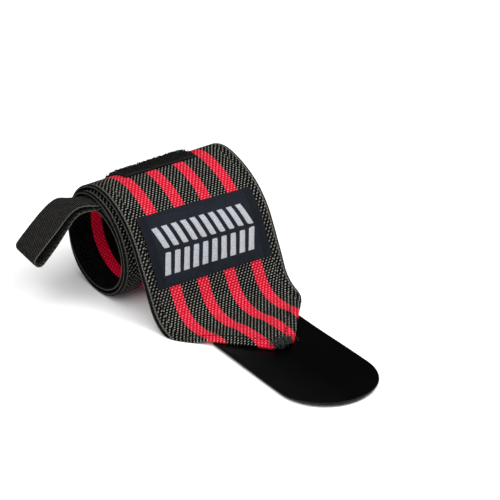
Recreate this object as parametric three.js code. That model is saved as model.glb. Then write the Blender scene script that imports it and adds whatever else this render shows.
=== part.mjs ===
// A rolled wrist wrap lying on its side: a striped elastic band wound about two turns, whose outer end hangs
// down as a flap to a sewn point, with a thumb loop, a fastening patch, a label and a fastening tab.
// Millimetres and degrees. X runs along the roll, -Y towards the tab, Z up, with the floor at Z = 0.
import * as THREE from "three";
import { mergeVertices } from "three/addons/utils/BufferGeometryUtils.js";

// Clear gap between pieces that touch
const GAP = 0.3;

// Band
const BAND_WIDTH = 76;
const BAND_THICK = 1.8;
const SELVEDGE_ROUND = 0.6;

// Roll: the angle of a place on it is the angle its outward normal has turned from straight up towards the flap
const ROLL_RADIUS = 23; // to the outer face of the innermost turn
const ROLL_OVAL = 2; // how much wider than that it is to front and back, and how much lower
const TURN_GAP = 0.4; // air between one turn and the next
const INNER_END_ANGLE = -62;
const LEAVE_ANGLE = 724; // where the flap leaves the roll, after two full turns
const OUTER_SLACK = 1.8; // how much the outermost turn stands off the one below at the top
const TURN_SHIFT = 2.5; // how far the inner turns lie to the left of the flap
const SHIFT_FROM_ANGLE = 560;
const ROLL_STEP = 7.5;

// Flap
const SHOULDER_RADIUS = 42;
const FLAP_SLOPE = 62;
const FOOT_RADIUS = 16;

// Point
const POINT_LENGTH = 38;
const POINT_THICK = 2.6; // the hem is folded under
const TIP_WIDTH = 12;
// From the foot, where the band begins and ends to climb from the floor onto the tab
const CLIMB_START = 4.5;
const CLIMB_END = 16.3;
const DRAPE_LENGTH = 7; // beside the tab, over which the band falls back to the floor
const DRAPE_CLEAR = 2; // from the tab's edge to where that starts

// Fastening tab
const TAB_WIDTH = 48;
const TAB_THICK = 1.8;
const TAB_BEYOND_POINT = 55;

// Label on the flap
const LABEL_WIDTH = 64;
const LABEL_HEIGHT = 35;
const LABEL_THICK = 0.8;
const LABEL_BELOW_LEAVE = 25.5; // from where the flap leaves the roll to the label's upper edge

// Fastening patch on the outside of the roll
const PATCH_WIDTH = 40;
const PATCH_LENGTH = 62;
const PATCH_THICK = 2.2;
const PATCH_BEHIND_LEAVE = 2;
const PATCH_TO_LEFT = 1.3; // of the band's middle

// Thumb loop: a strap folded in two, its sewn ends between the first and second turns
const STRAP_WIDTH = 18;
const STRAP_THICK = 1.3;
const STRAP_ANGLE = -13; // the place on the roll under the strap's middle
const STRAP_SEWN = 22; // inside the roll
const STRAP_OUT = 4.3; // straight out of the roll
const STRAP_BEND_RADIUS = 16;
const STRAP_DROOP = 44;
const STRAP_HANG = 21.5; // straight down to the fold
const LOOP_OPENING = 3.8; // between the legs, at the fold
const LOOP_TWIST = 5; // how far the strap's back edge has risen at the fold, in degrees
const TWIST_SHARE = 0.55; // of the free strap, over which it twists

const DRAPE_START = TAB_WIDTH / 2 + DRAPE_CLEAR;
const PITCH = BAND_THICK + TURN_GAP;
const STRAP_STACK = 2 * STRAP_THICK;
const STRAP_SPREAD = 90; // either side of the strap, over which the turns above it rise and fall
// A little more than the stack needs, because the rise has begun to fall at the strap's two edges
const STRAP_RISE = 1.15 * (STRAP_STACK + 2 * GAP - TURN_GAP);

const rad = THREE.MathUtils.degToRad;
const smooth = THREE.MathUtils.smoothstep;
const lerp = THREE.MathUtils.lerp;

const fabric = (color, roughness) =>
  new THREE.MeshStandardMaterial({ color, roughness, metalness: 0 });
const elastic = fabric(0x3a3a38, 0.9);
const webbing = fabric(0x34342f, 0.9);
const labelCloth = fabric(0x1e222c, 0.8);
const loopPile = fabric(0x0b0b0c, 1);
const hookBacking = fabric(0x060607, 0.45);

// How far the turns over the strap are lifted at an angle, as a share
function strapLift(angle) {
  const off = THREE.MathUtils.euclideanModulo(angle - STRAP_ANGLE + 180, 360) - 180;
  return Math.abs(off) < STRAP_SPREAD ? 0.5 + 0.5 * Math.cos((Math.PI * off) / STRAP_SPREAD) : 0;
}

// Distance from the roll's centre to the tangent of its outer face at an angle
function reach(angle) {
  const round = ROLL_RADIUS + (PITCH * angle) / 360 - ROLL_OVAL * Math.cos(2 * rad(angle));
  const overStrap = angle > 180 ? STRAP_RISE * strapLift(angle) : 0;
  const slack = angle > 540 ? OUTER_SLACK * strapLift(angle) : 0;
  return round + overStrap + slack;
}

// Point of the band's outer face at an angle, with its outward normal. The roll's centre is at y = 0, z = 0.
function rollPlace(angle) {
  const small = 0.25;
  const slope = (reach(angle + small) - reach(angle - small)) / rad(2 * small);
  const n = new THREE.Vector2(-Math.sin(rad(angle)), Math.cos(rad(angle)));
  const along = new THREE.Vector2(-n.y, n.x);
  return { at: n.clone().multiplyScalar(reach(angle)).addScaledVector(along, slope), n };
}

// Height of the roll's centre, with the lowest turn on the floor
const CENTRE_HEIGHT = -Math.min(
  ...Array.from({ length: 61 }, (_, i) => rollPlace(510 + i).at.y),
);

// One row of the band: a place of the middle of its outer face and the way that face looks
function row(at, n, extra = {}) {
  return { at, n, shift: 0, half: BAND_WIDTH / 2, thick: BAND_THICK, lift: 0, ...extra };
}

function turned(degrees) {
  return new THREE.Vector2(-Math.sin(rad(degrees)), Math.cos(rad(degrees)));
}

function rollRows() {
  const steps = Math.ceil((LEAVE_ANGLE - INNER_END_ANGLE) / ROLL_STEP);
  return Array.from({ length: steps + 1 }, (_, i) => {
    const angle = lerp(INNER_END_ANGLE, LEAVE_ANGLE, i / steps);
    const { at, n } = rollPlace(angle);
    at.y += CENTRE_HEIGHT;
    return row(at, n, { shift: -TURN_SHIFT * (1 - smooth(angle, SHIFT_FROM_ANGLE, LEAVE_ANGLE)) });
  });
}

// Rows along an arc that starts at a row and turns the face from its angle to another. A negative radius bends
// the band the other way, with its centre on the outer side.
function arcRows(start, from, to, radius, steps) {
  const centre = start.at.clone().addScaledVector(turned(from), -radius);
  return Array.from({ length: steps }, (_, i) => {
    const n = turned(lerp(from, to, (i + 1) / steps));
    return row(centre.clone().addScaledVector(n, radius), n);
  });
}

function flapRows(leave) {
  const shoulder = arcRows(leave, LEAVE_ANGLE - 720, FLAP_SLOPE, SHOULDER_RADIUS, 10);
  const top = shoulder.at(-1);
  const footHeight = BAND_THICK + FOOT_RADIUS * (1 - Math.cos(rad(FLAP_SLOPE)));
  const straight = (top.at.y - footHeight) / Math.sin(rad(FLAP_SLOPE));
  const down = new THREE.Vector2(-Math.cos(rad(FLAP_SLOPE)), -Math.sin(rad(FLAP_SLOPE)));
  const slope = [0.25, 0.5, 0.75, 1].map((share) =>
    row(top.at.clone().addScaledVector(down, share * straight), top.n),
  );
  const foot = arcRows(slope.at(-1), FLAP_SLOPE, 0, -FOOT_RADIUS, 8);
  return [...shoulder, ...slope, ...foot];
}

// From the foot on, the band lies flat and narrows to the tip, climbing onto the tab on the way
function pointRows(foot) {
  const steps = 14;
  return Array.from({ length: steps }, (_, i) => {
    const share = (i + 1) / steps;
    const forward = share * POINT_LENGTH;
    const climbed = smooth(forward, CLIMB_START, CLIMB_END);
    const lift = climbed * (TAB_THICK + GAP);
    const thick = lerp(BAND_THICK, POINT_THICK, climbed);
    const half = lerp(BAND_WIDTH, TIP_WIDTH, share) / 2;
    const at = new THREE.Vector2(foot.at.x - forward, lift + thick);
    return row(at, turned(0), { lift, half, thick });
  });
}

// Joins rings of points into one closed skin. Each ring runs over the face from left to right, round the right
// edge, back underneath and round the left edge.
function skin(rings) {
  const count = rings[0].length;
  const across = (count - 2) / 2;
  const index = [];
  for (let r = 0; r + 1 < rings.length; r++)
    for (let i = 0; i < count; i++) {
      const a = r * count + i;
      const b = r * count + ((i + 1) % count);
      index.push(a, a + count, b + count, a, b + count, b);
    }
  const cap = (first, flip) => {
    const under = (i) => first + 2 * across - i;
    const face = (a, b, c) => (flip ? index.push(a, c, b) : index.push(a, b, c));
    for (let i = 0; i + 1 < across; i++) {
      face(first + i, first + i + 1, under(i + 1));
      face(first + i, under(i + 1), under(i));
    }
    face(first + across - 1, first + across, under(across - 1));
    face(first, under(0), first + count - 1);
  };
  cap(0, false);
  cap((rings.length - 1) * count, true);
  const geometry = new THREE.BufferGeometry();
  const corners = rings.flat().flatMap((p) => [p.x, p.y, p.z]);
  geometry.setAttribute("position", new THREE.Float32BufferAttribute(corners, 3));
  geometry.setIndex(index);
  geometry.computeVertexNormals();
  return geometry;
}

// Ring of a row: shares are the places across it, above is how far over the row's face the ring's top lies
function ring(r, shares, above = 0) {
  const flatHalf = r.half - SELVEDGE_ROUND;
  const point = (x, height) => {
    const beyond = smooth(Math.abs(x), DRAPE_START, DRAPE_START + DRAPE_LENGTH);
    const at = r.at.clone().addScaledVector(r.n, height);
    return new THREE.Vector3(r.shift + x, at.x, at.y - beyond * r.lift);
  };
  const top = shares.map((s) => point(s * flatHalf, above));
  const bottom = shares.map((s) => point(s * flatHalf, above - r.thick)).reverse();
  const right = point(r.half, above - r.thick / 2);
  const left = point(-r.half, above - r.thick / 2);
  return [...top, right, ...bottom, left];
}

// A place on the band's rows by its distance along the outer face, between two rows
function withDistance(rows) {
  let distance = 0;
  rows.forEach((r, i) => {
    if (i) distance += r.at.distanceTo(rows[i - 1].at);
    r.distance = distance;
  });
  return rows;
}

function rowAt(rows, distance) {
  const i = Math.max(1, rows.findIndex((r) => r.distance >= distance));
  const [a, b] = [rows[i - 1], rows[i]];
  const s = (distance - a.distance) / (b.distance - a.distance);
  return row(a.at.clone().lerp(b.at, s), a.n.clone().lerp(b.n, s).normalize(), {
    shift: lerp(a.shift, b.shift, s),
  });
}

// A flat piece sewn on the band's outer face between two distances, a gap above it
function sewnOn(rows, from, length, width, thick, toLeft = 0) {
  const steps = Math.ceil(length / 3.5);
  const rings = Array.from({ length: steps + 1 }, (_, i) => {
    const r = rowAt(rows, from + (length * i) / steps);
    const sewn = { ...r, shift: r.shift - toLeft, half: width / 2, thick };
    return ring(sewn, [-1, 1], GAP + thick);
  });
  return skin(rings);
}

// Middle line of the free strap: out of the roll, round the bend and down to the fold
function strapMiddle(distance) {
  const bend = STRAP_BEND_RADIUS * rad(STRAP_DROOP);
  const angle = rad(STRAP_DROOP) * THREE.MathUtils.clamp((distance - STRAP_OUT) / bend, 0, 1);
  const straightOut = Math.min(distance, STRAP_OUT);
  const hang = Math.max(0, distance - STRAP_OUT - bend);
  return {
    out: straightOut + STRAP_BEND_RADIUS * Math.sin(angle) + hang * Math.cos(angle),
    down: STRAP_BEND_RADIUS * (1 - Math.cos(angle)) + hang * Math.sin(angle),
    angle,
  };
}

const STRAP_FREE = STRAP_OUT + STRAP_BEND_RADIUS * rad(STRAP_DROOP) + STRAP_HANG;

// Between the legs at a share of the free strap; it widens quickly at first
function opening(share) {
  return LOOP_OPENING * (1 - (1 - share) ** 2);
}

// Outline at a height off the strap's middle line, from one leg round the fold to the other
function strapOutline(extra, from) {
  const steps = 16;
  const side = (sign) =>
    Array.from({ length: steps + 1 }, (_, i) => {
      const share = lerp(from, 1, i / steps);
      const m = strapMiddle(share * STRAP_FREE);
      const off = sign * (opening(share) / 2 + extra);
      return new THREE.Vector2(-(m.out - off * Math.sin(-m.angle)), -m.down + off * Math.cos(m.angle));
    });
  const end = strapMiddle(STRAP_FREE);
  const radius = LOOP_OPENING / 2 + extra;
  const fold = Array.from({ length: 7 }, (_, i) => {
    const a = rad(90 - (180 * (i + 1)) / 8);
    const forward = radius * Math.cos(a);
    const off = radius * Math.sin(a);
    const out = end.out + forward * Math.cos(end.angle) + off * Math.sin(end.angle);
    return new THREE.Vector2(-out, -end.down - forward * Math.sin(end.angle) + off * Math.cos(end.angle));
  });
  return [...side(1), ...fold, ...side(-1).reverse()];
}

// The folded strap: its side view is pushed through its width, then curved to lie between the turns at its root
// and twisted towards the fold
function thumbLoop() {
  const half = STRAP_STACK / 2;
  const outline = new THREE.Shape([
    new THREE.Vector2(STRAP_SEWN, half),
    ...strapOutline(STRAP_THICK, 0),
    new THREE.Vector2(STRAP_SEWN, -half),
  ]);
  outline.holes.push(new THREE.Path(strapOutline(0, 0.02)));
  const geometry = new THREE.ExtrudeGeometry(outline, {
    depth: STRAP_WIDTH,
    steps: 8,
    bevelEnabled: false,
  });
  const edge = -BAND_WIDTH / 2 - TURN_SHIFT;
  const middle = rollPlace(STRAP_ANGLE);
  const base = GAP + half;
  const position = geometry.getAttribute("position");
  for (let i = 0; i < position.count; i++) {
    const side = position.getX(i);
    const height = position.getY(i);
    const across = STRAP_WIDTH / 2 - position.getZ(i);
    const free = smooth(-side, 0, STRAP_OUT + STRAP_BEND_RADIUS / 2);
    // Between the turns: the angle moves with the distance across, on the innermost turn's own curve
    const { at, n } = rollPlace(STRAP_ANGLE - THREE.MathUtils.radToDeg(across / ROLL_RADIUS));
    const inRoll = at.clone().addScaledVector(n, base + height);
    // Outside: straight across, tilted by the twist
    const twisted = THREE.MathUtils.clamp(-side / (STRAP_FREE * TWIST_SHARE), 0, 1);
    const tilt = lerp(STRAP_ANGLE, LOOP_TWIST, twisted);
    const start = middle.at.clone().addScaledVector(middle.n, base);
    const outside = new THREE.Vector2(start.x + across, start.y + height + across * Math.tan(rad(tilt)));
    const place = inRoll.lerp(outside, free);
    position.setXYZ(i, edge + side, place.x, place.y + CENTRE_HEIGHT);
  }
  // The outline was drawn in X and height and pushed towards -Y
  const closed = mergeVertices(new THREE.BufferGeometry().setAttribute("position", position), 1e-4);
  closed.computeVertexNormals();
  return closed;
}

function hookTab(cornerY) {
  const start = cornerY - CLIMB_END + GAP;
  const end = cornerY - POINT_LENGTH - TAB_BEYOND_POINT;
  const radius = TAB_WIDTH / 2;
  const outline = new THREE.Shape();
  outline.moveTo(radius, start);
  outline.lineTo(-radius, start);
  outline.lineTo(-radius, end + radius);
  outline.absarc(0, end + radius, radius, Math.PI, 2 * Math.PI, false);
  outline.closePath();
  return new THREE.ExtrudeGeometry(outline, { depth: TAB_THICK, curveSegments: 24, bevelEnabled: false });
}

const BAND_SHARES = [-1, -0.83, -0.66, -0.33, 0, 0.33, 0.66, 0.83, 1];
const roll = rollRows();
const flap = flapRows(roll.at(-1));
const point = pointRows(flap.at(-1));
const band = withDistance([...roll, ...flap, ...point]);
const leaveDistance = roll.at(-1).distance;
const cornerY = flap.at(-1).at.x;

const pieces = {
  elastic_band: [skin(band.map((r) => ring(r, BAND_SHARES))), elastic],
  thumb_loop: [thumbLoop(), webbing],
  label: [
    sewnOn(band, leaveDistance + LABEL_BELOW_LEAVE, LABEL_HEIGHT, LABEL_WIDTH, LABEL_THICK),
    labelCloth,
  ],
  loop_patch: [
    sewnOn(
      band,
      leaveDistance - PATCH_BEHIND_LEAVE - PATCH_LENGTH,
      PATCH_LENGTH,
      PATCH_WIDTH,
      PATCH_THICK,
      PATCH_TO_LEFT,
    ),
    loopPile,
  ],
  hook_tab: [hookTab(cornerY), hookBacking],
};

const wrap = new THREE.Group();
for (const [name, [geometry, material]] of Object.entries(pieces)) {
  const mesh = new THREE.Mesh(geometry, material);
  mesh.name = name;
  wrap.add(mesh);
}

// The origin is on the floor, under the middle of the whole wrap
const box = new THREE.Box3().setFromObject(wrap, true);
const middle = box.getCenter(new THREE.Vector3());
wrap.position.set(-middle.x, -middle.y, -box.min.z);

export default wrap;
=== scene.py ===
import math

import bpy
import numpy as np
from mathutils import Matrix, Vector


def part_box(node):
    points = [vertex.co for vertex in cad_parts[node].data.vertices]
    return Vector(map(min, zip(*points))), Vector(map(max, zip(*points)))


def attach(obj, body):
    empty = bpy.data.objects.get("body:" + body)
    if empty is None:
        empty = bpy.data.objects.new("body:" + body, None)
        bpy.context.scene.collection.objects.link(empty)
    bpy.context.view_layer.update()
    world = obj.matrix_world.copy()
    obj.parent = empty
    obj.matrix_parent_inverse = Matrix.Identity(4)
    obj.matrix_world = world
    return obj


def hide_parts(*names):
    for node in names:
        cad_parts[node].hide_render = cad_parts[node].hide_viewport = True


# A rolled wrist wrap lying on its side: a striped elastic band in two turns, whose outer end hangs down as
# a flap to a sewn point, with a thumb loop, a fuzzy fastening patch, a cloth label and a round-ended tab.
# Sizes are millimetres and degrees unless a name says otherwise. The centre line of the band is worked out
# in the same way as in the part's own source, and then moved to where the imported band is.
MM = 0.001

# Band
BAND_WIDTH = 76
BAND_THICK = 1.8
SELVEDGE_ROUND = 0.6
SELVEDGE_WIDTH = 2.0
BORDER_WIDTH = 5.4
CORD_INSET = 1.4
RIM_WIDTH = 0.9
RIB_COUNT = 38
RIB_DEPTH = 0.09
WEFT_PITCH = 1.2
STRIPE_CENTRES = (15.2, 30.5, 45.6, 60.8)
STRIPE_WIDTH = 5.9
STRIPE_BLUR = 0.12

# Roll: an angle is how far the outward normal has turned from straight up towards the flap
ROLL_RADIUS = 23
ROLL_OVAL = 2
TURN_GAP = 0.4
INNER_END_ANGLE = -62
LEAVE_ANGLE = 724
OUTER_SLACK = 1.8
OUTER_SKEW = 1.7
TURN_SHIFT = 2.5
SHIFT_FROM_ANGLE = 560

# Flap and point
SHOULDER_RADIUS = 42
FLAP_SLOPE = 62
FOOT_RADIUS = 16
POINT_LENGTH = 38
POINT_THICK = 2.6
TIP_WIDTH = 12
CLIMB_START = 4.5
CLIMB_END = 16.3
CORNER_ROUND = 5
HEM_THICK = 1.3
DRAPE_START = 26
DRAPE_LENGTH = 7
HEM_INSET = 4.6
HEM_GROOVE = 0.4
TUFT_WIDTH = 10
TUFT_LENGTH = 3
TUFT_BEYOND = 0.5

# How the cloth lies
WAVE_HEIGHT = 0.35
ROLL_WAVE_HEIGHT = 0.07
PUCKER_HEIGHT = 0.16
PUCKER_PITCH = 7.3

# Sewn pieces
GAP = 0.3
TAB_WIDTH = 48
TAB_THICK = 1.8
TAB_BACKING = 1.1
TAB_RISE = 0.9
TAB_RISE_LENGTH = 30
HOOK_INSET = 0.7
LABEL_WIDTH = 64
LABEL_HEIGHT = 35
LABEL_THICK = 0.7
LABEL_BELOW_LEAVE = 25.5
LABEL_FOLD = 4.6
LABEL_SEAM_INSET = 1.5
LABEL_PUFF = 0.22
BAR_ROWS = ((7.0, 1), (19.0, -1))
BARS_IN_ROW = 10
BAR_HEIGHT = 10.5
BAR_WIDTH = 3.2
BAR_PITCH = 5.2
BAR_SLOPE = 0.32
BAR_CROWN = 0.2
BARS_FROM_END = 6.8
PATCH_WIDTH = 40
PATCH_LENGTH = 62
PATCH_BACKING = 1.2
PATCH_BEHIND_LEAVE = 2
PATCH_TO_LEFT = 1.3
PILE_INSET = 0.8

# Thumb loop
STRAP_WIDTH = 18
STRAP_THICK = 1.3
STRAP_ANGLE = -13
STRAP_SPREAD = 90
STRAP_SEWN = 22
STRAP_OUT = 4.3
STRAP_BEND_RADIUS = 16
STRAP_DROOP = 44
STRAP_HANG = 21.5
LOOP_OPENING = 3.8
LOOP_TWIST = 5
TWIST_SHARE = 0.55

# Mesh steps
ROW_STEP = 1.3
LINE_STEP = 0.25
EDGE_POINTS = 5

# Camera
CAMERA_AIM = (52.86, 39.9, 9.5)
CAMERA_DISTANCE = 885
CAMERA_AZIMUTH = -34.5
CAMERA_ELEVATION = 26.5
CAMERA_LENS = 129.6
SENSOR = 36

# Studio, in metres and watts
FLOOR_HALF = 3.0
WORLD_STRENGTH = 0.045
LAMP_AIM = (0.01, 0.0, 0.02)
LAMPS = (
    ("softbox", (0.0, -0.25, 1.15), 1.7, 22.0),
    ("key", (0.50, -0.55, 0.75), 0.7, 9.0),
    ("fill", (-0.8, -0.3, 0.55), 0.9, 6.0),
)

PITCH = BAND_THICK + TURN_GAP
STRAP_STACK = 2 * STRAP_THICK
STRAP_RISE = 1.15 * (STRAP_STACK + 2 * GAP - TURN_GAP)
STRAP_FREE = STRAP_OUT + STRAP_BEND_RADIUS * math.radians(STRAP_DROOP) + STRAP_HANG
RIB_PITCH = (BAND_WIDTH - 2 * SELVEDGE_WIDTH) / RIB_COUNT
TAPER = (BAND_WIDTH - TIP_WIDTH) / 2 / POINT_LENGTH

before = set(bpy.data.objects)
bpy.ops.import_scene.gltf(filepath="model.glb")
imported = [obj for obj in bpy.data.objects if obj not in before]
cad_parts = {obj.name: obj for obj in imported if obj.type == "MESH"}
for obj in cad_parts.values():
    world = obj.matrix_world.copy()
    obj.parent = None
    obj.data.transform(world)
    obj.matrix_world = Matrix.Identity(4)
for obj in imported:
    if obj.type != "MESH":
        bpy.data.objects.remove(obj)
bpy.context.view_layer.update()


def smooth(x, low, high):
    t = np.clip((x - low) / (high - low), 0, 1)
    return t * t * (3 - 2 * t)


def facing(angle):
    """Unit vector (y, z) of a face that has turned by this angle from straight up."""
    a = np.radians(angle)
    return np.stack([-np.sin(a), np.cos(a)], -1)


# The roll

def strap_lift(angle):
    """How far the turns over the strap are lifted, as a share."""
    off = (angle - STRAP_ANGLE + 180) % 360 - 180
    return np.where(np.abs(off) < STRAP_SPREAD, 0.5 + 0.5 * np.cos(np.pi * off / STRAP_SPREAD), 0)


def reach(angle):
    """Distance from the roll's centre to the tangent of its outer face."""
    plain = ROLL_RADIUS + PITCH * angle / 360 - ROLL_OVAL * np.cos(2 * np.radians(angle))
    over_strap = np.where(angle > 180, STRAP_RISE, 0) + np.where(angle > 540, OUTER_SLACK, 0)
    return plain + over_strap * strap_lift(angle)


def roll_place(angle):
    """Point (y, z) of the outer face and its outward normal, with the roll's centre at 0."""
    small = 0.25
    slope = (reach(angle + small) - reach(angle - small)) / math.radians(2 * small)
    n = facing(angle)
    along = np.stack([-n[..., 1], n[..., 0]], -1)
    return n * reach(angle)[..., None] + along * slope[..., None], n


CENTRE_HEIGHT = -roll_place(np.linspace(510, 570, 61))[0][:, 1].min()


# The band's middle line, from its inner end to the tip of the point

class BandLine:
    """The outer face of the band as a line of close places, and the pieces' way to get onto it."""

    def __init__(self):
        self.rows = []
        self.roll()
        self.flap()
        self.point()
        table = np.array(self.rows)
        self.y, self.z, self.ny, self.nz, self.shift, self.half, self.thick, self.lift = table.T
        steps = np.hypot(np.diff(self.y), np.diff(self.z))
        self.distance = np.concatenate([[0], np.cumsum(steps)])
        self.leave = self.distance[self.leave_row]
        self.foot = self.distance[self.foot_row]
        self.end = self.distance[-1]
        past = np.clip(self.distance - self.foot + CORNER_ROUND, 0, 2 * CORNER_ROUND)
        self.half = np.minimum(self.half, BAND_WIDTH / 2 - TAPER * past ** 2 / (4 * CORNER_ROUND))
        low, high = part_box("elastic_band")
        self.centre_x = high.x / MM - BAND_WIDTH / 2
        self.offset_y = high.y / MM - self.y.max()

    def add(self, y, z, normal, shift=0.0, half=BAND_WIDTH / 2, thick=BAND_THICK, lift=0.0):
        self.rows.append((y, z, normal[0], normal[1], shift, half, thick, lift))

    def roll(self):
        count = int((LEAVE_ANGLE - INNER_END_ANGLE) * math.radians(ROLL_RADIUS) / LINE_STEP)
        for angle in np.linspace(INNER_END_ANGLE, LEAVE_ANGLE, count):
            at, n = roll_place(angle)
            share = smooth(angle, SHIFT_FROM_ANGLE, LEAVE_ANGLE)
            self.add(at[0], at[1] + CENTRE_HEIGHT, n, shift=-TURN_SHIFT * (1 - share))
        self.leave_row = len(self.rows) - 1

    def arc(self, turn_from, turn_to, radius):
        """Bends the band on from its last row. A negative radius has its centre on the outer side."""
        start = np.array(self.rows[-1][:2])
        centre = start - facing(turn_from) * radius
        count = int(abs(math.radians(turn_to - turn_from) * radius) / LINE_STEP)
        for angle in np.linspace(turn_from, turn_to, count)[1:]:
            n = facing(angle)
            y, z = centre + n * radius
            self.add(y, z, n)

    def flap(self):
        self.arc(LEAVE_ANGLE - 720, FLAP_SLOPE, SHOULDER_RADIUS)
        y, z = self.rows[-1][:2]
        slope = math.radians(FLAP_SLOPE)
        drop = z - BAND_THICK - FOOT_RADIUS * (1 - math.cos(slope))
        length = drop / math.sin(slope)
        for s in np.linspace(0, length, int(length / LINE_STEP))[1:]:
            self.add(y - s * math.cos(slope), z - s * math.sin(slope), facing(FLAP_SLOPE))
        self.arc(FLAP_SLOPE, 0, -FOOT_RADIUS)
        self.foot_row = len(self.rows) - 1

    def point(self):
        """From the foot on, the band lies flat and narrows to the tip, climbing onto the tab on the way."""
        y = self.rows[-1][0]
        for forward in np.linspace(0, POINT_LENGTH, int(POINT_LENGTH / LINE_STEP))[1:]:
            climbed = smooth(forward, CLIMB_START, CLIMB_END)
            lift = climbed * (TAB_THICK + GAP)
            thick = BAND_THICK + smooth(forward, 12, 30) * (POINT_THICK - BAND_THICK)
            half = BAND_WIDTH / 2 - TAPER * forward
            self.add(y - forward, lift + thick, facing(0), half=half, thick=thick, lift=lift)

    def at(self, distance, values):
        return np.interp(distance, self.distance, values)

    def hem_depth(self, across, distance):
        """How far inside the folded edge of the point a place is; the full width lies far inside."""
        inside = BAND_WIDTH / 2 - TAPER * (distance - self.foot) - np.abs(across)
        return inside * math.cos(math.atan(TAPER))

    def settle(self, across, distance):
        """How the cloth stands off its plain shape: long soft waves, puckers at seams and a sunk hem seam."""
        flap = smooth(distance, self.leave - 8, self.leave + 20)
        flap = flap * (1 - smooth(distance, self.foot - 12, self.foot))
        u, v = across / BAND_WIDTH, distance / BAND_WIDTH
        wave = np.sin(7.1 * v + 2.3 * u + 0.6) * np.cos(5.3 * u - 1.7 * v)
        label_edge = np.minimum(
            np.abs(distance - self.leave - LABEL_BELOW_LEAVE),
            np.abs(distance - self.leave - LABEL_BELOW_LEAVE - LABEL_HEIGHT),
        )
        pucker = np.exp(-((label_edge / 5) ** 2)) * np.sin(across * 2 * np.pi / PUCKER_PITCH + 1.1)
        depth = self.hem_depth(across, distance)
        groove = np.exp(-(((depth - HEM_INSET) / 0.9) ** 2)) * (0.8 + 0.2 * np.sin(distance * 2.4))
        groove = groove * smooth(distance, self.foot, self.foot + 5)
        over = smooth(distance, self.leave - 75, self.leave - 40)
        over = over * (1 - smooth(distance, self.leave - 16, self.leave + 10))
        loose = over * (0.15 + OUTER_SKEW * across / (BAND_WIDTH / 2))
        waves = flap * (WAVE_HEIGHT * wave + PUCKER_HEIGHT * pucker) + (1 - flap) * ROLL_WAVE_HEIGHT * wave
        return loose + waves - HEM_GROOVE * groove

    def place(self, across, distance, height=0.0):
        """Points in metres: across from the band's middle, along it, and above its outer face."""
        across, distance, height = np.broadcast_arrays(across, distance, height)
        ny, nz = self.at(distance, self.ny), self.at(distance, self.nz)
        size = np.hypot(ny, nz)
        off = height + self.settle(across, distance)
        beyond = smooth(np.abs(across), DRAPE_START, DRAPE_START + DRAPE_LENGTH)
        x = self.centre_x + self.at(distance, self.shift) + across
        y = self.offset_y + self.at(distance, self.y) + ny / size * off
        z = self.at(distance, self.z) + nz / size * off - beyond * self.at(distance, self.lift)
        return np.stack([x, y, np.maximum(z, 0.02)], -1) * MM


band = BandLine()


# Meshes

def face_of_ring(shares, half, thick, edge, relief=None):
    """Across and height of rings round a thin sheet: its face, right edge, back and left edge."""
    theta = np.radians(np.linspace(0, 180, EDGE_POINTS + 2)[1:-1])
    half, thick, edge = (v.reshape(-1, 1) for v in np.broadcast_arrays(half, thick, edge))
    face = shares[None, :] * (half - edge)
    sunk = relief(face) if relief else np.zeros_like(face)
    side = half - edge + edge * np.sin(theta)
    side_height = -thick / 2 * (1 - np.cos(theta))
    across = np.hstack([face, side, face[:, ::-1], -side[:, ::-1]])
    height = np.hstack([-sunk, side_height, (sunk - thick)[:, ::-1], side_height[:, ::-1]])
    return across, height


def closed_sheet(name, points, uv):
    """Mesh object of rings of points (rows, ring, 3), joined into one closed skin, with a map in millimetres
    and an attribute that tells the reverse from the face."""
    rows, count = points.shape[:2]
    start = np.arange(rows - 1)[:, None] * count
    a = start + np.arange(count)
    b = start + (np.arange(count) + 1) % count
    faces = np.stack([a, a + count, b + count, b], -1).reshape(-1, 4).tolist()
    across = (count - 2 * EDGE_POINTS) // 2
    rim = EDGE_POINTS // 2
    upper = [(k - rim - 1) % count for k in range(across + 2 * rim + 2)]
    lower = [(2 * across + EDGE_POINTS - 1 - k) % count for k in upper]
    for first, turn in ((0, 1), ((rows - 1) * count, -1)):
        for k in range(len(upper) - 1):
            ring = [upper[k], upper[k + 1], lower[k + 1], lower[k]]
            corners = list(dict.fromkeys(first + c for c in ring))
            faces.append(corners[::turn])
    thing = mesh_object(name, points.reshape(-1, 3), faces, uv.reshape(-1, 2))
    reverse = np.zeros((rows, count), np.float32)
    reverse[:, across + EDGE_POINTS:2 * across + EDGE_POINTS] = 1.0
    layer = thing.data.attributes.new("reverse", "FLOAT", "POINT")
    layer.data.foreach_set("value", reverse.ravel())
    return thing


def mesh_object(name, points, faces, uv=None):
    mesh = bpy.data.meshes.new(name)
    mesh.from_pydata(points.tolist(), [], faces)
    if uv is not None:
        corner_points = np.zeros(len(mesh.loops), np.int32)
        mesh.loops.foreach_get("vertex_index", corner_points)
        layer = mesh.uv_layers.new(name="cloth")
        layer.uv.foreach_set("vector", uv[corner_points].astype(np.float32).ravel())
    mesh.polygons.foreach_set("use_smooth", np.ones(len(mesh.polygons), bool))
    mesh.update()
    thing = bpy.data.objects.new(name, mesh)
    bpy.context.scene.collection.objects.link(thing)
    return thing


def rounded_end(distance, start, end, radius):
    """Share of the full thickness, which goes to nearly nothing in a round at both ends."""
    near = np.clip(np.minimum(distance - start, end - distance) / radius, 0.002, 1)
    return np.sqrt(1 - (1 - near) ** 2)


def row_distances(start, end, step, radius):
    """Places along a sheet, closer together where its ends are rounded."""
    round_in = start + radius * np.array([0, 0.1, 0.3, 0.6])
    middle = np.linspace(start + radius, end - radius, max(2, int((end - start - 2 * radius) / step)))
    return np.concatenate([round_in, middle, (start + end) - round_in[::-1]])


# Shaders

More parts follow.
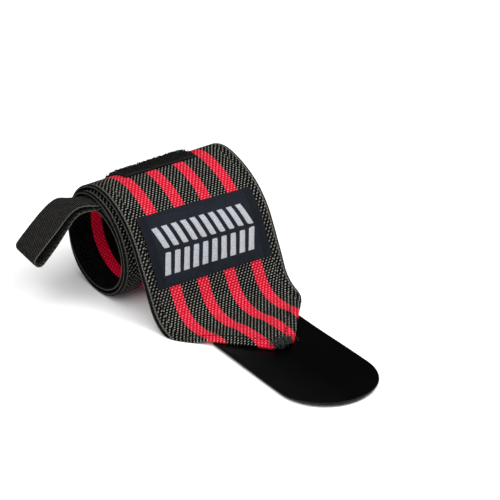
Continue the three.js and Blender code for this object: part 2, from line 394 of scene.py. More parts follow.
class Shader:
    """A material being made: each call adds a node and gives back what it puts out."""

    def __init__(self, name, roughness, specular):
        self.material = bpy.data.materials.new(name)
        self.material.use_nodes = True
        self.nodes = self.material.node_tree.nodes
        self.links = self.material.node_tree.links
        self.surface = self.nodes["Principled BSDF"]
        self.surface.inputs["Roughness"].default_value = roughness
        self.surface.inputs["Specular IOR Level"].default_value = specular

    def feed(self, socket, value):
        if isinstance(value, bpy.types.NodeSocket):
            self.links.new(value, socket)
        elif value is not None:
            socket.default_value = value

    def math(self, operation, a, b=None, c=None):
        node = self.nodes.new("ShaderNodeMath")
        node.operation = operation
        for socket, value in zip(node.inputs, (a, b, c)):
            self.feed(socket, value)
        return node.outputs[0]

    def step(self, value, low, high):
        """0 below low, 1 above high and smooth between; low may be the larger of the two."""
        node = self.nodes.new("ShaderNodeMapRange")
        node.interpolation_type = "SMOOTHSTEP"
        self.feed(node.inputs["Value"], value)
        flip = low > high
        node.inputs["From Min"].default_value = min(low, high)
        node.inputs["From Max"].default_value = max(low, high)
        node.inputs["To Min"].default_value = 1.0 if flip else 0.0
        node.inputs["To Max"].default_value = 0.0 if flip else 1.0
        return node.outputs["Result"]

    def mix(self, share, a, b):
        node = self.nodes.new("ShaderNodeMix")
        node.data_type = "RGBA"
        self.feed(node.inputs["Factor"], share)
        for socket, value in ((node.inputs[6], a), (node.inputs[7], b)):
            self.feed(socket, (*value, 1.0) if isinstance(value, tuple) else value)
        return node.outputs[2]

    def scale_colour(self, colour, amount):
        node = self.nodes.new("ShaderNodeVectorMath")
        node.operation = "SCALE"
        self.feed(node.inputs[0], colour)
        self.feed(node.inputs["Scale"], amount)
        return node.outputs[0]

    def multiply(self, a, b):
        node = self.nodes.new("ShaderNodeVectorMath")
        node.operation = "MULTIPLY"
        self.feed(node.inputs[0], a)
        self.feed(node.inputs[1], b)
        return node.outputs[0]

    def map(self):
        """Millimetres across and along the cloth."""
        node = self.nodes.new("ShaderNodeUVMap")
        node.uv_map = "cloth"
        split = self.nodes.new("ShaderNodeSeparateXYZ")
        self.links.new(node.outputs["UV"], split.inputs[0])
        return split.outputs[0], split.outputs[1]

    def attribute(self, name):
        node = self.nodes.new("ShaderNodeAttribute")
        node.attribute_name = name
        return node.outputs["Fac"]

    def object_place(self):
        return self.nodes.new("ShaderNodeTexCoord").outputs["Object"]

    def vector(self, x, y, z=0.0):
        node = self.nodes.new("ShaderNodeCombineXYZ")
        for socket, value in zip(node.inputs, (x, y, z)):
            self.feed(socket, value)
        return node.outputs[0]

    def noise(self, vector, scale, detail=2.0):
        node = self.nodes.new("ShaderNodeTexNoise")
        node.inputs["Scale"].default_value = scale
        node.inputs["Detail"].default_value = detail
        self.feed(node.inputs["Vector"], vector)
        return node.outputs["Fac"]

    def random(self, vector):
        node = self.nodes.new("ShaderNodeTexWhiteNoise")
        node.noise_dimensions = "3D"
        self.feed(node.inputs["Vector"], vector)
        return node.outputs["Value"]

    def bump(self, height, depth_m):
        node = self.nodes.new("ShaderNodeBump")
        node.inputs["Strength"].default_value = 1.0
        node.inputs["Distance"].default_value = depth_m
        self.feed(node.inputs["Height"], height)
        self.links.new(node.outputs[0], self.surface.inputs["Normal"])

    def colour(self, value):
        self.feed(self.surface.inputs["Base Color"], (*value, 1.0) if isinstance(value, tuple) else value)

    def twill(self, u, v, pitch_u, pitch_v, shift=0.5, wide=0.6, long=0.7):
        """Yarn floats in rows, each row shifted by a share of the pitch: how deep in a float a place is, and
        a random number for each float."""
        row = self.math("DIVIDE", v, pitch_v)
        column = self.math("MULTIPLY_ADD", row, shift, self.math("DIVIDE", u, pitch_u))
        x = self.math("MULTIPLY_ADD", self.math("FRACT", column), 2.0 / wide, -1.0 / wide)
        y = self.math("MULTIPLY_ADD", self.math("FRACT", row), 2.0 / long, -1.0 / long)
        off = self.math("SQRT", self.math("ADD", self.math("MULTIPLY", x, x), self.math("MULTIPLY", y, y)))
        chance = self.random(self.vector(self.math("FLOOR", column), self.math("FLOOR", row)))
        return self.step(off, 1.35, 0.55), chance


def elastic_shader():
    """Striped elastic: slanted light floats on a black ground, red ones in the stripes, dotted selvedges."""
    s = Shader("striped_elastic", roughness=0.8, specular=0.03)
    u, v = s.map()
    inner = s.math("SUBTRACT", u, SELVEDGE_WIDTH)
    depth, chance = s.twill(inner, v, RIB_PITCH, WEFT_PITCH, 0.44, wide=0.45, long=0.48)
    fuzz = s.noise(s.vector(u, v), 2.2, 3.0)
    worn = s.noise(s.vector(u, v), 0.05, 2.0)
    light = s.math("MULTIPLY_ADD", chance, 0.5, 0.7)
    light = s.math("MULTIPLY", light, s.math("MULTIPLY_ADD", worn, 0.5, 0.75))
    grey = s.scale_colour(s.mix(fuzz, (0.185, 0.185, 0.161), (0.33, 0.325, 0.283)), light)
    ground = s.mix(depth, (0.001, 0.0012, 0.001), grey)
    red_float = s.mix(chance, (0.74, 0.082, 0.125), (0.96, 0.175, 0.23))
    red = s.mix(depth, (0.36, 0.0045, 0.015), red_float)
    ragged = s.math("MULTIPLY_ADD", s.noise(s.vector(0.0, v, 3.0), 1.6, 1.0), 0.5, -0.25)
    stripe = None
    for centre in STRIPE_CENTRES:
        off = s.math("ABSOLUTE", s.math("SUBTRACT", s.math("ADD", u, ragged), centre))
        one = s.step(off, STRIPE_WIDTH / 2 + STRIPE_BLUR, STRIPE_WIDTH / 2 - STRIPE_BLUR)
        stripe = one if stripe is None else s.math("MAXIMUM", stripe, one)
    cloth = s.mix(stripe, ground, red)
    from_edge = s.math("MINIMUM", u, s.math("SUBTRACT", BAND_WIDTH, u))
    dots, _ = s.twill(u, v, 2.1, 1.5, 0.5, wide=0.42, long=0.6)
    border = s.mix(dots, (0.001, 0.001, 0.001), s.scale_colour((0.15, 0.148, 0.13), light))
    whole = s.mix(s.step(from_edge, BORDER_WIDTH + 0.1, BORDER_WIDTH - 0.1), cloth, border)
    beads = s.math("MULTIPLY_ADD", s.math("FRACT", s.math("DIVIDE", v, 1.3)), 2.0, -1.0)
    cord = s.mix(s.math("MULTIPLY", beads, beads), (0.085, 0.084, 0.075), (0.02, 0.02, 0.018))
    from_cord = s.math("ABSOLUTE", s.math("SUBTRACT", from_edge, CORD_INSET))
    whole = s.mix(s.step(from_cord, 0.45, 0.25), whole, cord)
    whole = s.mix(s.step(from_edge, RIM_WIDTH + 0.1, RIM_WIDTH - 0.1), whole, (0.002, 0.002, 0.002))
    # Painted shade: on the reverse face, which lies inside the roll and under the flap, the black and grey
    # weave is painted at a tenth of its brightness, and the red of the stripes is made stronger and more
    # crimson.
    reverse_painted_shade = s.mix(stripe, (0.10, 0.10, 0.10), (1.75, 0.35, 1.3))
    s.colour(s.mix(s.attribute("reverse"), whole, s.multiply(whole, reverse_painted_shade)))
    s.bump(s.math("ADD", depth, s.math("MULTIPLY", fuzz, 0.35)), 0.00022)
    return s.material


def strap_shader():
    """Fine charcoal webbing of the thumb loop."""
    s = Shader("fine_webbing", roughness=0.8, specular=0.03)
    u, v = s.map()
    depth, chance = s.twill(u, v, 1.3, 0.8, 1 / 3, wide=0.55)
    fuzz = s.noise(s.vector(u, v), 1.4, 3.0)
    fuzzy = s.math("MULTIPLY_ADD", fuzz, 0.8, 0.6)
    light = s.math("MULTIPLY", s.math("MULTIPLY_ADD", chance, 0.6, 0.6), fuzzy)
    yarn = s.scale_colour((0.050, 0.049, 0.045), light)
    s.colour(s.mix(depth, (0.002, 0.002, 0.002), yarn))
    s.bump(s.math("ADD", depth, s.math("MULTIPLY", fuzz, 0.4)), 0.00015)
    return s.material


def label_shader():
    """Tight satin weave of the label, darker on its folded ends."""
    s = Shader("label_satin", roughness=0.6, specular=0.05)
    u, v = s.map()
    depth, chance = s.twill(u, v, 0.7, 0.42, 1 / 3, wide=0.8, long=0.9)
    cloudy = s.noise(s.vector(u, v), 0.08, 3.0)
    uneven = s.math("MULTIPLY_ADD", cloudy, 0.8, 0.6)
    light = s.math("MULTIPLY", s.math("MULTIPLY_ADD", chance, 0.35, 0.8), uneven)
    yarn = s.scale_colour((0.0105, 0.0135, 0.0200), light)
    cloth = s.mix(depth, (0.004, 0.005, 0.008), yarn)
    from_end = s.math("MINIMUM", u, s.math("SUBTRACT", LABEL_WIDTH, u))
    folded = s.math("MULTIPLY_ADD", s.step(from_end, LABEL_FOLD + 0.3, LABEL_FOLD - 0.3), -0.35, 1.0)
    s.colour(s.scale_colour(cloth, folded))
    s.bump(s.math("ADD", depth, s.math("MULTIPLY", cloudy, 0.5)), 0.00006)
    return s.material


def yarn_shader(name, low, high, roughness=0.7, specular=0.1, scale=900.0):
    """Thread or pile whose shade varies from place to place."""
    s = Shader(name, roughness=roughness, specular=specular)
    place = s.object_place()
    s.colour(s.mix(s.noise(place, scale, 2.0), low, high))
    s.bump(s.noise(place, scale * 4, 1.0), 0.00008)
    return s.material


def backing_shader():
    """Smooth black tape of the tab: a fine woven grain under a faint satin sheen, partly painted into its
    colour.
    """
    s = Shader("satin_tape", roughness=0.17, specular=0.15)
    u, v = s.map()
    depth, _ = s.twill(u, v, 0.5, 0.7)
    cloudy = s.noise(s.vector(u, v), 0.06, 3.0)
    # Painted sheen: faint lighter cloudy patches painted into the colour near the tape's left edge, fading
    # out by 26 mm across.
    painted_sheen = s.math("MULTIPLY", s.step(u, 26.0, 3.0), cloudy)
    light = s.math("MULTIPLY_ADD", painted_sheen, 0.003, 0.0003)
    s.colour(s.vector(light, light, light))
    s.bump(s.math("ADD", depth, s.math("MULTIPLY", cloudy, 2.0)), 0.00002)
    return s.material


# Geometry Nodes

class Grower:
    """A node tree being made, with named inputs; each call adds a node."""

    SOCKETS = {"float": "NodeSocketFloat", "int": "NodeSocketInt", "material": "NodeSocketMaterial"}

    def __init__(self, name, **inputs):
        self.tree = bpy.data.node_groups.new(name, "GeometryNodeTree")
        self.tree.interface.new_socket("Geometry", in_out="INPUT", socket_type="NodeSocketGeometry")
        self.tree.interface.new_socket("Geometry", in_out="OUTPUT", socket_type="NodeSocketGeometry")
        for label, kind in inputs.items():
            self.tree.interface.new_socket(label, in_out="INPUT", socket_type=self.SOCKETS[kind])
        self.given = self.tree.nodes.new("NodeGroupInput").outputs

    def node(self, kind, settings=None, **fed):
        node = self.tree.nodes.new(kind)
        for key, value in (settings or {}).items():
            setattr(node, key, value)
        for label, value in fed.items():
            self.feed(self.socket(node, label), value)
        return node

    def socket(self, node, label):
        wanted = label.replace("_", " ").lower()
        return next(s for s in node.inputs if s.enabled and s.name.lower() == wanted)

    def feed(self, socket, value):
        if isinstance(value, bpy.types.NodeSocket):
            self.tree.links.new(value, socket)
        else:
            socket.default_value = value

    def math(self, operation, a, b=0.0):
        node = self.tree.nodes.new("ShaderNodeMath")
        node.operation = operation
        self.feed(node.inputs[0], a)
        self.feed(node.inputs[1], b)
        return node.outputs[0]

    def vector(self, x, y, z):
        node = self.tree.nodes.new("ShaderNodeCombineXYZ")
        for socket, value in zip(node.inputs, (x, y, z)):
            self.feed(socket, value)
        return node.outputs[0]

    def random(self, low, high, seed):
        node = self.tree.nodes.new("FunctionNodeRandomValue")
        node.data_type = "FLOAT"
        sockets = [s for s in node.inputs if s.enabled]
        for label, value in (("Min", low), ("Max", high), ("Seed", seed)):
            self.feed(next(s for s in sockets if s.name == label), value)
        return next(s for s in node.outputs if s.enabled)

    def finish(self, instances):
        """Realizes the instances, smooths them and gives them their material."""
        real = self.node("GeometryNodeRealizeInstances", Geometry=instances)
        soft = self.node("GeometryNodeSetShadeSmooth", Geometry=real.outputs[0])
        done = self.node("GeometryNodeSetMaterial", Geometry=soft.outputs[0], Material=self.given["Material"])
        output = self.tree.nodes.new("NodeGroupOutput")
        self.tree.links.new(done.outputs[0], output.inputs[0])
        return self.tree


def stitch_tree():
    """Thread floats laid end to end along a path whose points carry the way up of the cloth."""
    g = Grower("stitches", Pitch="float", Length="float", Radius="float", Jitter="float", Seed="int",
               Material="material")
    curve = g.node("GeometryNodeMeshToCurve", Mesh=g.given["Geometry"])
    spaced = g.node("GeometryNodeResampleCurve", {"mode": "LENGTH"}, Curve=curve.outputs[0])
    g.feed(g.socket(spaced, "Length"), g.given["Pitch"])
    points = g.node("GeometryNodeCurveToPoints", {"mode": "EVALUATED"}, Curve=spaced.outputs[0])
    up = g.node("GeometryNodeInputNamedAttribute", {"data_type": "FLOAT_VECTOR"}, Name="up")
    turned = g.tree.nodes.new("FunctionNodeAxesToRotation")
    turned.primary_axis = "Z"
    turned.secondary_axis = "X"
    g.feed(turned.inputs[0], next(s for s in up.outputs if s.enabled))
    g.feed(turned.inputs[1], points.outputs["Tangent"])
    angle = g.math("MULTIPLY", g.random(-1.0, 1.0, g.given["Seed"]), g.given["Jitter"])
    swung = g.tree.nodes.new("FunctionNodeRotateRotation")
    swung.rotation_space = "LOCAL"
    g.feed(swung.inputs[0], turned.outputs[0])
    g.feed(swung.inputs[1], g.vector(0.0, 0.0, angle))
    bead = g.node("GeometryNodeMeshUVSphere", Segments=6, Rings=5, Radius=1.0)
    size = g.vector(g.math("MULTIPLY", g.given["Length"], 0.5), g.given["Radius"], g.given["Radius"])
    laid = g.node("GeometryNodeInstanceOnPoints", Points=points.outputs[0], Instance=bead.outputs[0])
    g.feed(laid.inputs["Rotation"], swung.outputs[0])
    g.feed(laid.inputs["Scale"], size)
    return g.finish(laid.outputs[0])


def curl_tree():
    """Short curled yarns standing on a surface: the patch's pile, the tab's hooks, the frayed tip."""
    g = Grower("curled_yarns", Density="float", Apart="float", Height="float", Curl="float", Radius="float",
               Lean="float", Seed="int", Material="material")
    spread = g.node("GeometryNodeDistributePointsOnFaces", {"distribute_method": "POISSON"},
                    Mesh=g.given["Geometry"])
    g.feed(g.socket(spread, "Distance Min"), g.given["Apart"])
    g.feed(g.socket(spread, "Density Max"), g.given["Density"])
    g.feed(g.socket(spread, "Seed"), g.given["Seed"])
    yarn = g.tree.nodes.new("GeometryNodeCurvePrimitiveBezierSegment")
    tall = g.math("MULTIPLY", g.given["Height"], 1.35)
    g.feed(g.socket(yarn, "Resolution"), 5)
    g.feed(g.socket(yarn, "Start"), (0.0, 0.0, 0.0))
    g.feed(g.socket(yarn, "Start Handle"), g.vector(0.0, 0.0, tall))
    g.feed(g.socket(yarn, "End Handle"), g.vector(g.given["Curl"], 0.0, tall))
    low = g.math("MULTIPLY", g.given["Height"], 0.25)
    g.feed(g.socket(yarn, "End"), g.vector(g.given["Curl"], 0.0, low))
    profile = g.node("GeometryNodeCurvePrimitiveCircle", Resolution=3, Radius=g.given["Radius"])
    tube = g.node("GeometryNodeCurveToMesh", Curve=yarn.outputs[0], Fill_Caps=True)
    g.feed(g.socket(tube, "Profile Curve"), profile.outputs[0])
    lean = g.given["Lean"]
    seed = g.given["Seed"]
    tip_x = g.math("MULTIPLY", g.random(-1.0, 1.0, g.math("ADD", seed, 1.0)), lean)
    tip_y = g.math("MULTIPLY", g.random(-1.0, 1.0, g.math("ADD", seed, 2.0)), lean)
    spin = g.random(0.0, 2 * math.pi, g.math("ADD", seed, 3.0))
    swung = g.tree.nodes.new("FunctionNodeRotateRotation")
    swung.rotation_space = "LOCAL"
    g.feed(swung.inputs[0], spread.outputs["Rotation"])
    g.feed(swung.inputs[1], g.vector(tip_x, tip_y, spin))
    grown = g.random(0.75, 1.2, g.math("ADD", seed, 4.0))
    laid = g.node("GeometryNodeInstanceOnPoints", Points=spread.outputs["Points"], Instance=tube.outputs[0])
    g.feed(laid.inputs["Rotation"], swung.outputs[0])
    g.feed(laid.inputs["Scale"], grown)
    return g.finish(laid.outputs[0])


stitch = stitch_tree()
curl = curl_tree()


def grow(name, tree, carrier, **values):
    """Runs a tree on a carrier and keeps the result as a plain mesh; the carrier goes."""
    modifier = carrier.modifiers.new("grow", "NODES")
    modifier.node_group = tree
    for item in tree.interface.items_tree:
        if item.in_out == "INPUT" and item.name in values:
            modifier[item.identifier] = values[item.name]
    graph = bpy.context.evaluated_depsgraph_get()
    graph.update()
    mesh = bpy.data.meshes.new_from_object(carrier.evaluated_get(graph), depsgraph=graph)
    mesh.name = name
    bpy.data.objects.remove(carrier)
    thing = bpy.data.objects.new(name, mesh)
    bpy.context.scene.collection.objects.link(thing)
    return thing


def path_object(points, ups, closed=False):
    """Carrier for stitches: a line through the points, which know the way up."""
    count = len(points)
    edges = [(i, i + 1) for i in range(count - 1)] + ([(count - 1, 0)] if closed else [])
    mesh = bpy.data.meshes.new("path")
    mesh.from_pydata(points.tolist(), edges, [])
    attribute = mesh.attributes.new("up", "FLOAT_VECTOR", "POINT")
    attribute.data.foreach_set("vector", ups.astype(np.float32).ravel())
    carrier = bpy.data.objects.new("path", mesh)
    bpy.context.scene.collection.objects.link(carrier)
    return carrier


def seam_on(place, across, distance, height, closed=False):
    """Path on a cloth, given by its across and along, with the way up from the cloth itself."""
    points = place(across, distance, height)
    ups = place(across, distance, height + 0.5) - points
    ups /= np.linalg.norm(ups, axis=1, keepdims=True)
    return path_object(points, ups, closed)


def box_path(left, right, near, far, step=1.0):
    """Across and along of a rectangle's outline, once round."""
    across = np.arange(left, right, step)
    along = np.arange(near, far, step)
    x = np.concatenate([across, np.full(len(along), right), across[::-1] + step, np.full(len(along), left)])
    y = np.concatenate([np.full(len(across), near), along, np.full(len(across), far), along[::-1] + step])
    return x, y


# Pieces

def elastic_band():
    """The band's cloth, ribbed across its width, with raised folded edges along the point."""

    def ribs(across):
        u = across + BAND_WIDTH / 2 - SELVEDGE_WIDTH
        inside = (u > -0.01) & (u < BAND_WIDTH - 2 * SELVEDGE_WIDTH + 0.01)
        return np.where(inside, RIB_DEPTH * (0.5 + 0.5 * np.cos(2 * np.pi * u / RIB_PITCH)), 0)

    flat = BAND_WIDTH / 2 - SELVEDGE_ROUND
    woven = np.linspace(-1, 1, 2 * RIB_COUNT + 1) * (BAND_WIDTH / 2 - SELVEDGE_WIDTH)
    edge = np.array([0.99 * flat + 0.01 * woven[-1], (flat + woven[-1]) / 2])
    shares = np.concatenate([-edge, woven, edge[::-1]]) / flat
    distance = row_distances(0, band.end, ROW_STEP, BAND_THICK / 2)
    full = band.at(distance, band.thick)
    thick = full * rounded_end(distance, 0, band.end, BAND_THICK / 2)
    folded = smooth(distance, band.foot - CORNER_ROUND, band.foot + 4)
    crown = folded * (thick - np.minimum(thick, HEM_THICK))
    across, height = face_of_ring(shares, band.at(distance, band.half), thick - crown, SELVEDGE_ROUND, ribs)
    height -= ((full - thick) / 2 + crown)[:, None]
    along = np.broadcast_to(distance[:, None], across.shape)
    face = slice(0, len(shares))
    height[:, face] += crown[:, None] * smooth(band.hem_depth(across, along)[:, face], 0.3, 4.0)
    points = band.place(across, along, height)
    uv = np.stack([across + BAND_WIDTH / 2, along], -1)
    return closed_sheet("elastic_band_cloth", points, uv)


def edge_cords(names, place, half, along, height, seed, **values):
    """The light cord woven along each long edge of a cloth."""
    cords = []
    for name, side in zip(names, (-1, 1)):
        path = seam_on(place, side * (half - 0.05), along, height)
        cords.append(grow(name, stitch, path, Jitter=0.12, Seed=seed + side, **values))
    return cords


def selvedges(material):
    along = np.arange(1.0, band.foot - CORNER_ROUND, 0.8)
    return edge_cords(("selvedge_left", "selvedge_right"), band.place, BAND_WIDTH / 2, along, -BAND_THICK / 2,
                      seed=5, Pitch=0.85 * MM, Length=1.5 * MM, Radius=0.3 * MM, Material=material)


def laid_sheet(name, half, start, end, base, thick, edge, step, relief=None, centre=0.0):
    """A cloth sewn on the outer face: half its width, where along the band, its base height and thickness."""
    distance = row_distances(start, end, step, edge)
    shares = np.linspace(-1, 1, 2 * int(half / step) + 1)
    rounded = thick * rounded_end(distance, start, end, edge)
    across, height = face_of_ring(shares, half, rounded, edge)
    along = np.broadcast_to(distance[:, None], across.shape)
    height = height + base + thick - (thick - rounded)[:, None] / 2
    if relief:
        height = height + relief(across, along)
    uv = np.stack([across + half, along - start], -1)
    return closed_sheet(name, band.place(across + centre, along, height), uv)


def label():
    start = band.leave + LABEL_BELOW_LEAVE
    end = start + LABEL_HEIGHT

    def relief(across, along):
        from_end = LABEL_WIDTH / 2 - np.abs(across)
        fold = 0.3 * (1 - smooth(from_end, LABEL_FOLD - 0.3, LABEL_FOLD + 0.3))
        seam = np.minimum(np.minimum(from_end, along - start), end - along)
        pressed = -LABEL_PUFF * np.exp(-(((seam - LABEL_SEAM_INSET) / 0.7) ** 2))
        uneven = 1 + 0.5 * np.sin(across / 6.1 + 0.4) * np.sin(along / 5.3)
        puffed = LABEL_PUFF * smooth(seam, 2, 9) * uneven
        return fold + pressed + puffed

    return laid_sheet("label_cloth", LABEL_WIDTH / 2, start, end, 0.02, LABEL_THICK, 0.3, 1.0, relief)


def patch():
    start = band.leave - PATCH_BEHIND_LEAVE - PATCH_LENGTH
    end = start + PATCH_LENGTH
    return laid_sheet("patch_backing", PATCH_WIDTH / 2, start, end, 0.05, PATCH_BACKING, 0.5, 1.2,
                      centre=-PATCH_TO_LEFT)


def patch_pile(material):
    """The fuzzy loops, on a copy of the patch's face a little inside its edge."""
    start = band.leave - PATCH_BEHIND_LEAVE - PATCH_LENGTH + PILE_INSET
    across = np.linspace(PILE_INSET - PATCH_WIDTH / 2, PATCH_WIDTH / 2 - PILE_INSET, 25) - PATCH_TO_LEFT
    along = np.linspace(start, start + PATCH_LENGTH - 2 * PILE_INSET, 33)
    grid = band.place(across[None, :], along[:, None], 0.05 + PATCH_BACKING - 0.1)
    face = grid_object("pile_face", grid)
    return grow("patch_pile", curl, face, Density=2.2e6, Apart=0.62 * MM, Height=1.0 * MM, Curl=0.75 * MM,
                Radius=0.13 * MM, Lean=0.5, Seed=11, Material=material)


def grid_object(name, grid):
    """Open sheet through a grid of points, which faces the way that along turned onto across does."""
    rows, count = grid.shape[:2]
    a = (np.arange(rows - 1)[:, None] * count + np.arange(count - 1)).ravel()
    faces = np.stack([a, a + count, a + count + 1, a + 1], -1).tolist()
    return mesh_object(name, grid.reshape(-1, 3), faces)


def strap_middle(distance):
    bend = STRAP_BEND_RADIUS * math.radians(STRAP_DROOP)
    angle = np.radians(STRAP_DROOP) * np.clip((distance - STRAP_OUT) / bend, 0, 1)
    hang = np.maximum(0, distance - STRAP_OUT - bend)
    out = np.minimum(distance, STRAP_OUT) + STRAP_BEND_RADIUS * np.sin(angle) + hang * np.cos(angle)
    down = STRAP_BEND_RADIUS * (1 - np.cos(angle)) + hang * np.sin(angle)
    return out, down, angle


class LoopLine:
    """The folded strap as one line in its side view, and the way onto it."""

    def __init__(self):
        leg = self.leg(np.linspace(0, 1, 60))
        sewn = np.stack([np.linspace(STRAP_SEWN, 0, 20)[:-1], np.full(19, STRAP_THICK / 2 + 0.02)], -1)
        out, down, angle = strap_middle(np.array(STRAP_FREE))
        radius = LOOP_OPENING / 2 + STRAP_THICK / 2
        a = np.radians(np.linspace(90, -90, 15)[1:-1])
        forward, off = radius * np.cos(a), radius * np.sin(a)
        fold_out = out + forward * np.cos(angle) + off * np.sin(angle)
        fold_height = -down - forward * np.sin(angle) + off * np.cos(angle)
        fold = np.stack([-fold_out, fold_height], -1)
        back = self.leg(np.linspace(1, 0, 60), -1)
        sewn_back = sewn[::-1] * np.array([1, -1])
        line = np.concatenate([sewn, leg, fold, back, sewn_back])
        self.distance = np.concatenate([[0], np.cumsum(np.hypot(*np.diff(line, axis=0).T))])
        self.side, self.height = line.T
        along = np.gradient(line, self.distance, axis=0)
        along /= np.linalg.norm(along, axis=1, keepdims=True)
        self.normal = np.stack([along[:, 1], -along[:, 0]], -1)
        self.end = self.distance[-1]

    def leg(self, share, sign=1):
        out, down, angle = strap_middle(share * STRAP_FREE)
        off = sign * (LOOP_OPENING * (1 - (1 - share) ** 2) / 2 + STRAP_THICK / 2 + 0.02)
        return np.stack([-(out + off * np.sin(angle)), -down + off * np.cos(angle)], -1)

    def place(self, across, distance, height=0.0):
        """Points in metres: across the strap, along it, and above its outer face."""
        across, distance, height = np.broadcast_arrays(across, distance, height)
        off = height + STRAP_THICK / 2
        n_side = np.interp(distance, self.distance, self.normal[:, 0])
        n_height = np.interp(distance, self.distance, self.normal[:, 1])
        side = np.interp(distance, self.distance, self.side) + n_side * off
        rise = np.interp(distance, self.distance, self.height) + n_height * off
        base = GAP + STRAP_STACK / 2
        free = smooth(-side, 0, STRAP_OUT + STRAP_BEND_RADIUS / 2)[..., None]
        at, n = roll_place(STRAP_ANGLE - np.degrees(across / ROLL_RADIUS))
        in_roll = at + n * (base + rise)[..., None]
        share = np.clip(-side / (STRAP_FREE * TWIST_SHARE), 0, 1)
        tilt = np.radians(STRAP_ANGLE + share * (LOOP_TWIST - STRAP_ANGLE))
        middle_at, middle_n = roll_place(np.array(float(STRAP_ANGLE)))
        start = middle_at + middle_n * base
        outside = np.stack([start[0] + across, start[1] + rise + across * np.tan(tilt)], -1)
        place = in_roll * (1 - free) + outside * free
        x = band.centre_x - BAND_WIDTH / 2 - TURN_SHIFT + side
        return np.stack([x, place[..., 0] + band.offset_y, place[..., 1] + CENTRE_HEIGHT], -1) * MM


loop = LoopLine()


def thumb_loop():
    distance = row_distances(0, loop.end, 1.0, STRAP_THICK / 2)
    thick = STRAP_THICK * rounded_end(distance, 0, loop.end, STRAP_THICK / 2)
    shares = np.linspace(-1, 1, 25)
    across, height = face_of_ring(shares, STRAP_WIDTH / 2, thick, STRAP_THICK / 2)
    height -= (STRAP_THICK - thick)[:, None] / 2
    along = np.broadcast_to(distance[:, None], across.shape)
    uv = np.stack([across + STRAP_WIDTH / 2, along], -1)
    return closed_sheet("thumb_loop_strap", loop.place(across, along, height), uv)


def strap_edges(material):
    along = np.arange(2.0, loop.end - 2, 0.7)
    return edge_cords(("strap_edge_near", "strap_edge_far"), loop.place, STRAP_WIDTH / 2, along,
                      0.3 - STRAP_THICK / 2, seed=9, Pitch=0.75 * MM, Length=1.2 * MM, Radius=0.24 * MM,
                      Material=material)


def tab_outline():
    """Rows of the tab from under the point to its round end: y and half width."""
    low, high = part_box("hook_tab")
    radius = TAB_WIDTH / 2
    start, end = high.y / MM, low.y / MM
    straight = np.linspace(start, end + radius, 40)
    theta = np.radians(np.linspace(0, 88, 40)[1:])
    y = np.concatenate([straight, end + radius - radius * np.sin(theta)])
    half = np.concatenate([np.full(40, radius), radius * np.cos(theta)])
    return y, half


def tab_lift(y):
    """The free end stands a little off the surface."""
    free = np.clip((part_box("hook_tab")[0].y / MM + TAB_RISE_LENGTH - y) / TAB_RISE_LENGTH, 0, 1)
    return TAB_RISE * free ** 2


def hook_tab():
    y, half = tab_outline()
    edge = np.minimum(0.35, 0.5 * half)
    shares = np.linspace(-1, 1, 33)
    across, height = face_of_ring(shares, half, TAB_BACKING, edge)
    along = np.broadcast_to(y[:, None], across.shape)
    wave = 0.12 * np.sin(along / 9.0 + across / 14.0) + tab_lift(along)
    grid = np.stack([across + band.centre_x, along, TAB_THICK + height + wave - 0.12], -1) * MM
    uv = np.stack([across + TAB_WIDTH / 2, y[0] - along], -1)
    return closed_sheet("hook_tab_tape", grid, uv)


def tab_hooks(material):
    """Stiff little hooks beneath the tape, pointing down."""
    y, half = tab_outline()
    keep = half > 4
    across = np.linspace(1, -1, 17)[None, :] * (half[keep] - HOOK_INSET)[:, None]
    along = np.broadcast_to(y[keep][:, None], across.shape)
    height = TAB_THICK - TAB_BACKING + tab_lift(along)
    grid = np.stack([across + band.centre_x, along, height], -1) * MM
    face = grid_object("hook_face", grid)
    return grow("tab_hooks", curl, face, Density=6.0e5, Apart=1.0 * MM, Height=0.5 * MM, Curl=0.35 * MM,
                Radius=0.09 * MM, Lean=0.15, Seed=21, Material=material)


def sewing(material):
    """Seams: round the label and inside the folded edges of the point."""
    start = band.leave + LABEL_BELOW_LEAVE
    seam_x = LABEL_WIDTH / 2 - LABEL_SEAM_INSET
    x, y = box_path(-seam_x, seam_x, start + LABEL_SEAM_INSET, start + LABEL_HEIGHT - LABEL_SEAM_INSET)
    path = seam_on(band.place, x, y, LABEL_THICK - 0.05, closed=True)
    made = [grow("label_stitches", stitch, path, Pitch=2.5 * MM, Length=2.0 * MM, Radius=0.22 * MM,
                 Jitter=0.06, Seed=31, Material=material)]
    for name, side, thick in (("hem_stitches_left", -1, 0.2), ("hem_stitches_right", 1, 0.32)):
        along = np.linspace(band.foot + 3, band.end - 4, 60)
        across = side * (band.at(along, band.half) - HEM_INSET / math.cos(math.atan(TAPER)))
        keep = side * across > 0
        path = seam_on(band.place, across[keep], along[keep], 0.1)
        made.append(grow(name, stitch, path, Pitch=2.6 * MM, Length=2.4 * MM, Radius=thick * MM,
                         Jitter=0.08, Seed=33 + side, Material=material))
    return made


def tip_tuft(material):
    """The frayed, dense sewing at the tip."""
    across = np.linspace(-TUFT_WIDTH / 2, TUFT_WIDTH / 2, 5)
    along = np.linspace(-TUFT_LENGTH, 0, 4) + band.end + TUFT_BEYOND
    grid = band.place(across[None, :], along[:, None], -0.8)
    grid[..., 1] -= np.maximum(0, along[:, None] - band.end) * MM
    face = grid_object("tuft_face", grid)
    return grow("tip_tuft", curl, face, Density=9.0e6, Apart=0.36 * MM, Height=1.6 * MM, Curl=2.6 * MM,
                Radius=0.13 * MM, Lean=1.0, Seed=41, Material=material)


